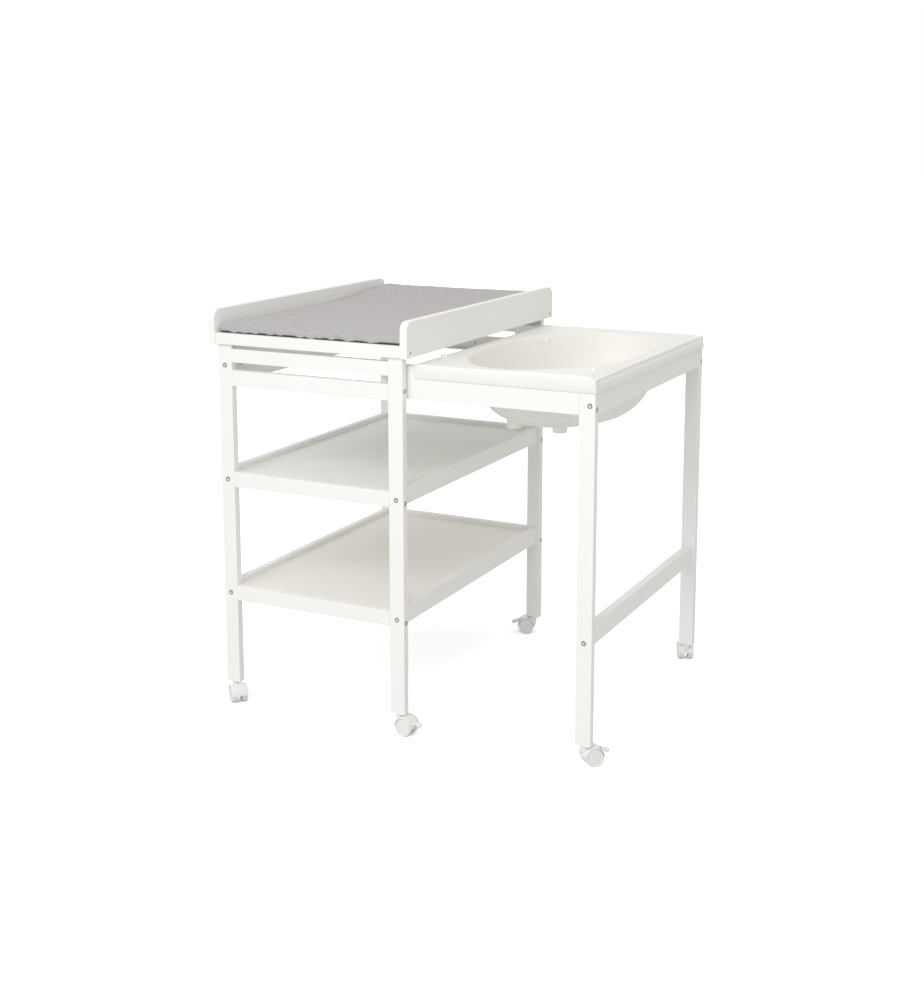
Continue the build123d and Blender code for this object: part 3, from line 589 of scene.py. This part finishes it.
tub_low, tub_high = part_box("bath_tub")
tub_x = (tub_low.x + tub_high.x) / 2
tub_wall, lip_wall = 0.0035, 0.003
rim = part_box("bath_leg_front")[1].z + tub_wall
corner_rise = 0.004
lip_low, lip_draft = rim - 0.032, 0.0012
lip_round, lip_outer_bevel, lip_inner_bevel = 0.001, 0.0006, 0.0004
slot_past, slot_clear = 0.001, 0.0003
edge_round, corner_round = 0.0025, 0.005
# how far in from the outside the rim's bead starts, and how far it falls: on the right, then at the back
crest_inset, crest_drop = 0.030, 0.020
back_inset, back_drop = 0.010, 0.007
first_slope = radians(32)  # the bead's, at its crest
bead_turns = [first_slope] + [radians(turn) for turn in (39, 46, 53, 60, 67, 74, 82, 90)]
basin_edge, under_edge = 0.003, 0.002
basin_depths = [  # depth below the rim, half width, half length, middle along Y
    (0.000, 0.190, 0.3245, -0.026),
    (0.040, 0.184, 0.319, -0.020),
    (0.085, 0.178, 0.303, -0.003),
    (0.118, 0.166, 0.286, 0.011),
    (0.144, 0.144, 0.258, 0.029),
    (0.164, 0.115, 0.212, 0.064),
    (0.176, 0.093, 0.150, 0.112),
]
# how square each quarter is at the rim, by right or left and back or front; an ellipse is 2
basin_square = {(1, 1): 2.5, (-1, 1): 1.75, (1, -1): 2.05, (-1, -1): 2.35}
rise_fade, square_fade = 0.05, (0.02, 0.17)  # depths at which the rim's rise and squareness fade out
foot_radius, foot_low, foot_overlap = 0.0175, tub_low.z + 0.013, 0.0015
foot_profile = [(0.86, 0.0), (0.96, 0.0008), (1, 0.003), (1, None)]  # share of its radius, and height
foot_places = [(tub_x - 0.058, -0.187), (tub_x + 0.058, -0.187)]
steps_between = 6  # rings from one depth of the basin to the next
floor_shares = (0.15, 0.5, 0.85)  # rings across the basin's floor
stud_place, pad_place = (tub_low.x + 0.012, -0.248, rim), (0.434, -0.281, rim + 0.0035)
peg_places = [(0.104, -0.262), (0.105, 0.183), (0.409, 0.195)]
# radii and heights of what is turned
drain_hole = [(0.0085, -0.01), (0.0085, 0.02)]
stud = [(0.0090, -0.001), (0.0082, 0.0030), (0.0068, 0.0062), (0.0045, 0.0070)]
pad = [(0.0085, -0.001), (0.0080, 0.0020), (0.0062, 0.0044), (0.0030, 0.0052)]
peg = [(0.0018, -0.0100), (0.0036, -0.0080), (0.0046, -0.0020), (0.0042, 0.0040), (0.0020, 0.0070)]
ahead, aside = Vector((1, 0, 0)), Vector((0, 1, 0))


def smooth(value, low, high):
    """0 up to low, 1 from high on, smooth in between."""
    share = min(max((value - low) / (high - low), 0), 1)
    return share * share * (3 - 2 * share)


def rounded_box(low, high, front_radius, back_radius, corner_steps, side_steps):
    """Points round a box with rounded corners. Each has how far it faces right and how far back."""
    box = [(high[0], low[1]), (high[0], high[1]), (low[0], high[1]), (low[0], low[1])]
    rounded = []
    for number, (x, y) in enumerate(box):
        side = 1 if number < 2 else -1
        end = 1 if number in (1, 2) else -1
        radius = front_radius if end < 0 else back_radius
        corner = []
        for step in range(corner_steps + 1):
            turn = radians(90 * (number - 1) + 90 * step / corner_steps)
            place = (x - side * radius + radius * cos(turn), y - end * radius + radius * sin(turn))
            corner.append((*place, max(cos(turn), 0) ** 2, max(sin(turn), 0) ** 2))
        rounded.append(corner)
    outline = []
    for number, corner in enumerate(rounded):
        outline += corner
        here, there = corner[-1], rounded[(number + 1) % 4][0]
        for step in range(1, side_steps):
            outline.append(tuple(a + (b - a) * step / side_steps for a, b in zip(here, there)))
    return outline


def rim_outline(left, right, front, back):
    """The rim's outline drawn in from its four sides."""
    low = (tub_low.x + left, tub_low.y + front)
    high = (tub_high.x - right, tub_high.y - back)
    return rounded_box(low, high, corner_round, corner_round, corner_steps=8, side_steps=48)


outer_line = rim_outline(0, 0, 0, 0)


def rim_rise(x, y):
    """The rim stands a little higher towards the front right corner."""
    return corner_rise * smooth(x, tub_x - 0.06, tub_x + 0.14) * smooth(-y, 0.05, 0.30)


def oval(half_wide, half_long, middle, depth, grow, drop=0.0):
    """A ring round the basin, grown by a width. Each quarter has its own squareness at the rim."""
    ring = []
    for x, y, _, _ in outer_line:
        turn = atan2((y - middle) / half_long, (x - tub_x) / half_wide)
        across, along = cos(turn), sin(turn)
        square = basin_square[1 if across > 0 else -1, 1 if along > 0 else -1]
        power = 2 / (square + (2 - square) * smooth(depth, *square_fade))
        ring_x = tub_x + copysign(abs(across) ** power, across) * (half_wide + grow)
        ring_y = middle + copysign(abs(along) ** power, along) * (half_long + grow)
        lift = rim_rise(ring_x, ring_y) * (1 - smooth(depth, 0, rise_fade))
        ring.append((ring_x, ring_y, rim - depth - drop + lift))
    return ring


def basin_stations():
    """Close steps down the basin, on a smooth curve through its depths."""
    stations = []
    last = len(basin_depths) - 1
    for number in range(last):
        four = [basin_depths[min(max(number + k, 0), last)] for k in (-1, 0, 1, 2)]
        for step in range(steps_between):
            s = step / steps_between
            curve = [b + s / 2 * (c - a + s * (2 * a - 5 * b + 4 * c - d + s * (3 * (b - c) + d - a)))
                     for a, b, c, d in zip(*four)]
            stations.append(curve)
    return stations + [list(basin_depths[-1])]


def bead(turn, inward=0.0, drop=0.0):
    """A ring on the rim's outer edge, between its crest and where it stands upright, moved in and down."""
    share = 1 - (sin(turn) - sin(first_slope)) / (1 - sin(first_slope))
    fall = (cos(first_slope) - cos(turn)) / cos(first_slope)
    narrow = edge_round * share + lip_draft + inward
    broad = crest_inset * share + lip_draft * (1 - share) + inward
    behind = back_inset * share + lip_draft * (1 - share) + inward
    ring = []
    for x, y, right, back in rim_outline(narrow, broad, narrow, behind):
        height = edge_round + (crest_drop - edge_round) * right + (back_drop - edge_round) * back
        ring.append((x, y, rim + rim_rise(x, y) * (1 - fall) - height * fall - drop))
    return ring


def level_ring(inset, height):
    """A level ring round the lip, drawn in from the outside."""
    return [(x, y, height) for x, y, _, _ in rim_outline(inset, inset, inset, inset)]


def bath_shell(finish):
    """From the basin's floor up its inner side, over the rim, down the lip, and back under it all."""
    stations = basin_stations()
    depth, wide, long, middle = stations[-1]
    rings = [oval(wide * k, long * k, middle, depth, 0) for k in floor_shares]
    for depth, wide, long, middle in reversed(stations):
        if depth > basin_edge:
            rings.append(oval(wide, long, middle, depth, -basin_edge))
    depth, wide, long, middle = stations[0]
    for degrees in (0, 22, 45, 68, 90):
        over = radians(degrees)
        rings.append(oval(wide, long, middle, depth, -basin_edge * cos(over), basin_edge * (1 - sin(over))))
    inner, crest = rings[-1], bead(first_slope)
    for share in (0.2, 0.45, 0.7, 0.9):
        flat = []
        for (x, y, _), (far_x, far_y, _) in zip(inner, crest):
            flat.append((x + (far_x - x) * share, y + (far_y - y) * share))
        rings.append([(x, y, rim + rim_rise(x, y)) for x, y in flat])
    rings += [bead(turn) for turn in bead_turns]
    rings += [level_ring(0.0, lip_low + lip_round), level_ring(lip_outer_bevel, lip_low)]
    rings += [level_ring(lip_wall - lip_inner_bevel, lip_low), level_ring(lip_wall, lip_low + lip_round)]
    rings += [bead(turn, lip_wall - lip_draft, tub_wall) for turn in bead_turns[::-2]]
    rings.append(oval(wide, long, middle, depth, under_edge, tub_wall))
    last_depth, last_wide = depth, wide
    for depth, wide, long, middle in stations[1:]:
        lean = atan2(last_wide - wide, depth - last_depth)
        if depth > 2 * basin_edge:
            grow = tub_wall * cos(lean) - basin_edge
            rings.append(oval(wide, long, middle, depth, grow, tub_wall * sin(lean)))
        last_depth, last_wide = depth, wide
    rings += [oval(wide * k, long * k, middle, depth, 0, tub_wall) for k in reversed(floor_shares)]
    return skin("bath_shell", rings, finish)


def turned(name, place, profile, finish):
    """A piece turned about an upright line through this place, from its radii and heights."""
    rings = [circle(Vector(place) + up * height, ahead, aside, radius) for radius, height in profile]
    return skin(name, rings, finish)


def block(name, low, high, finish):
    """A plain box between two corners."""
    corners = [(low[0], low[1]), (high[0], low[1]), (high[0], high[1]), (low[0], high[1])]
    return skin(name, [[(x, y, z) for x, y in corners] for z in (low[2], high[2])], finish)


def finished_mesh(piece):
    """The mesh that the piece's modifiers make of it, which takes the modifiers off."""
    mesh = bpy.data.meshes.new_from_object(piece.evaluated_get(bpy.context.evaluated_depsgraph_get()))
    piece.modifiers.clear()
    return mesh


def baked(piece, kind, **settings):
    """The piece with one modifier applied."""
    change = piece.modifiers.new(kind, kind)
    for key, value in settings.items():
        setattr(change, key, value)
    piece.data = finished_mesh(piece)


def cut(piece, cutter):
    """Takes the cutter's shape out of the piece."""
    baked(piece, "BOOLEAN", solver="EXACT", object=cutter)
    bpy.data.objects.remove(cutter)


def tub_foot(x, y, finish):
    """A foot whose top follows the basin's underside."""
    under = BVHTree.FromObject(bath, bpy.context.evaluated_depsgraph_get())
    rings = []
    for share, height in foot_profile:
        ring = circle(Vector((x, y, foot_low)), ahead, aside, foot_radius * share)
        for spot in ring:
            if height is None:
                spot.z = under.ray_cast(spot, up)[0].z + foot_overlap
            else:
                spot.z = foot_low + height
        rings.append(ring)
    return skin("foot", rings, finish)


ivory = ivory_plastic()
bath = bath_shell(ivory)
drain_low, drain_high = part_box("drain_fitting")
cut(bath, turned("hole", (drain_low + drain_high) / 2, drain_hole, ivory))
for end in ends:
    rail_low, rail_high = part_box(f"bath_rail_{end}")
    slot_low = (tub_low.x - slot_past, rail_low.y - slot_clear, lip_low - slot_past)
    slot_high = (tub_low.x + lip_wall + slot_past, rail_high.y + slot_clear, rim - tub_wall)
    cut(bath, block("slot", slot_low, slot_high, ivory))
bath_parts = [bath] + [tub_foot(x, y, ivory) for x, y in foot_places]
bath_parts += [turned("stud", stud_place, stud, ivory), turned("pad", pad_place, pad, ivory)]
# Each peg stands on the basin's side a little below the rim, at the nearest point of one ring.
depth, wide, long, middle = basin_stations()[2]
for wanted in peg_places:
    spot = min(oval(wide, long, middle, depth, -basin_edge), key=lambda point: dist(point[:2], wanted))
    bath_parts.append(turned("peg", spot, peg, ivory))
tub = joined("tub", bath_parts)
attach(tub, "bath_carriage")
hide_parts("bath_tub")


# ---- the drain fitting and its plug ----
# A short dark tube with a collar, fixed against the basin's floor from below, and a pale soft plug that drops
# into it from above.
def rubber(name, colour):
    soft = Finish(name)
    grain = soft.speckle(soft.place(), 900, 3)
    tint = soft.blend(grain, (*colour, 1), tuple(c * 1.15 for c in colour) + (1,))
    return soft.surface(Base_Color=tint, Roughness=0.6 + grain * 0.15, Normal=soft.bump(grain, 0.0001, 0.6))


dress(rubber("drain_grey", (0.18, 0.18, 0.19)), "drain_fitting")
dress(rubber("plug_rubber", (0.74, 0.74, 0.71)), "drain_plug")


# ---- the changing mat ----
# A foam wedge in a fitted cover of grey melange jersey, raised at the head end and snug between the guards.
# The cover's hem is gathered on an elastic. It is drawn as a near-black band under the hem whose colour is
# painted shade, seen in the gaps where the gathers lift the hem off the board.
def melange_jersey():
    jersey = Finish("melange_jersey")
    point = jersey.place()
    streak = jersey.speckle(jersey.stretch(point, 420, 160, 420), 1.0, 4, 0.7)
    loops = jersey.speckle(point, 1100, 1)
    patch = jersey.speckle(point, 30, 3)
    colour = jersey.blend(streak.between(0.3, 0.7), (0.37, 0.356, 0.366, 1), (0.57, 0.55, 0.56, 1))
    relief = streak * 0.5 + loops * 0.3 + patch * 0.2
    normal = jersey.bump(relief, 0.0008, 0.6)
    sheen = {"Sheen_Weight": 0.2, "Sheen_Roughness": 0.5}
    return jersey.surface(Base_Color=colour, Roughness=0.92, Normal=normal, **sheen)


# The elastic's near-black colour is painted shade for the gaps under the gathered hem.
def elastic_painted_shade():
    shade_band = Finish("elastic_painted_shade")
    rib = shade_band.speckle(shade_band.stretch(shade_band.place(), 1200, 1200, 60), 1.0, 2)
    colour = shade_band.blend(rib, (0.035, 0.035, 0.04, 1), (0.07, 0.07, 0.075, 1))
    return shade_band.surface(Base_Color=colour, Roughness=0.9, Normal=shade_band.bump(rib, 0.0003, 0.6))


mat_low, mat_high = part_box("changing_mat")
guard_left, guard_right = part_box("guard_board_left")[1].x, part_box("guard_board_right")[0].x
guard_clear, front_past = 0.0006, 0.004  # from the guards' faces, and at most past the mat's front
side_swell, mat_forward = 0.003, 0.001  # the cover swells out to the guards, and sits a little forward
mat_front_height = 0.0222
edge_loss = 0.003  # what its rounded back edge takes off the mat's height
head_climb = mat_high.z - mat_low.z - mat_front_height + edge_loss
slope_start, slope_end = 0.10, mat_high.y + 0.05
front_corner, back_corner = 0.006, 0.024
hem_top = 0.0035  # below this the cover lies on the board
gather_low, gather_top = 0.001, 0.012  # heights between which the gathers fade out
side_pull, hem_sink, hem_out = 0.003, 0.0006, 0.0012
front_strip, crease_start, crease_end = 0.03, 0.02, 0.14  # back from the mat's front
crease_height = 0.0007
hem_waves = 14  # to the metre, on the sides and at the back
flat_share = 0.3  # of a gather's half width, over which it pulls fully
settle_frames = 20


def mat_height(y):
    """Level at the front, and climbing to the head end at the back."""
    climb, whole = (smooth(place, slope_start, slope_end) for place in (y, mat_high.y))
    return mat_front_height + head_climb * climb / whole


def mat_ring(inset, share):
    """A ring round the mat, drawn in from its outline, at a share of the mat's height."""
    low = (mat_low.x - side_swell + inset, mat_low.y - mat_forward + inset)
    high = (mat_high.x + side_swell - inset, mat_high.y - mat_forward - inset)
    outline = rounded_box(low, high, front_corner, back_corner, corner_steps=6, side_steps=60)
    return [(x, y, mat_low.z + mat_height(y) * share) for x, y, _, _ in outline]


def inflate(piece, pressure, growth, furthest):
    """The cover settles over its filling as cloth. Its underside stays put and no point moves far."""
    rest = [v.co.copy() for v in piece.data.vertices]
    held = piece.vertex_groups.new(name="held")
    held.add([k for k, point in enumerate(rest) if point.z < mat_low.z + hem_top], 1.0, "REPLACE")
    cloth = piece.modifiers.new("cloth", "CLOTH").settings
    cloth.quality = 6
    cloth.vertex_group_mass = "held"
    cloth.mass = 0.25
    cloth.tension_stiffness = cloth.compression_stiffness = 12
    cloth.bending_stiffness = 0.3
    cloth.shrink_min = -growth
    cloth.use_pressure = True
    cloth.uniform_pressure_force = pressure
    cloth.effector_weights.gravity = 0
    for number in range(1, settle_frames + 1):
        scene.frame_set(number)
    puffed = finished_mesh(piece)
    scene.frame_set(1)
    for k, point in enumerate(rest):
        move = puffed.vertices[k].co - point
        if move.length > furthest:
            move = move * (furthest / move.length)
        piece.data.vertices[k].co = point + move
    piece.vertex_groups.clear()


gathers = [  # along the front hem: middle, half width, how far it is pulled up
    (-0.465, 0.030, 0.0042),
    (-0.423, 0.016, 0.0032),
    (-0.394, 0.021, 0.0034),
    (-0.358, 0.028, 0.0038),
    (-0.322, 0.021, 0.0034),
    (-0.284, 0.036, 0.0040),
    (-0.240, 0.013, 0.0034),
    (-0.208, 0.012, 0.0034),
    (-0.186, 0.021, 0.0036),
    (-0.148, 0.025, 0.0038),
    (-0.094, 0.036, 0.0034),
    (-0.014, 0.060, 0.0042),
]


def gather_hem(piece):
    """The hem pulls up and in where the elastic gathers it. Above it the cover creases softly, both ways."""
    for v in piece.data.vertices:
        x, y, z = v.co
        near = 1 - smooth(z, mat_low.z + gather_low, mat_low.z + gather_top)
        at_front = y < mat_low.y + front_strip
        if at_front:
            pull = max(most * (1 - smooth(abs(x - place), flat_share * half, half))
                       for place, half, most in gathers)
        else:
            wave = noise.noise(Vector((y * hem_waves, x * hem_waves, 0)))
            pull = side_pull * smooth(wave, 0.08, 0.42)
        v.co.z += (pull - hem_sink) * near
        if at_front:
            v.co.y += (0.5 * pull - hem_out) * near
        front_part = 1 - smooth(y, mat_low.y + crease_start, mat_low.y + crease_end)
        crease = noise.noise(Vector((x * 60, y * 14, z * 10))) + noise.noise(Vector((x * 9, y * 70, 3)))
        v.co.z += crease_height * crease * front_part * (1 - near)
        v.co.x = min(max(v.co.x, guard_left + guard_clear), guard_right - guard_clear)
        v.co.y = max(v.co.y, mat_low.y - front_past)


# from under the mat round its edge and over its top: how far in from the outline, and share of the height
mat_edge = [(0.030, 0.0), (0.004, 0.0), (0.001, 0.06), (0.0, 0.2), (0.0, 0.5), (0.002, 0.72), (0.006, 0.89)]
mat_top = [(0.012, 0.975), (0.022, 1.0), (0.05, 1.0), (0.09, 1.0), (0.14, 1.0), (0.19, 1.0), (0.235, 1.0)]
rings = [mat_ring(inset, share) for inset, share in mat_edge + mat_top]
mat = skin("changing_mat_cover", rings, melange_jersey())
baked(mat, "REMESH", mode="VOXEL", voxel_size=0.006)
inflate(mat, pressure=4.0, growth=0.012, furthest=0.004)
gather_hem(mat)
baked(mat, "SUBSURF", levels=1)
mat.data.shade_smooth()
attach(mat, "table")
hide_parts("changing_mat")

# A band just inside the hem, near black as painted shade. It shows where the gathers lift the hem.
shade_band_inset, shade_band_share = 0.0055, 0.2
shade_band = skin("hem_painted_shade_band", [mat_ring(shade_band_inset, 0.0), mat_ring(shade_band_inset, shade_band_share)], elastic_painted_shade())
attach(shade_band, "table")
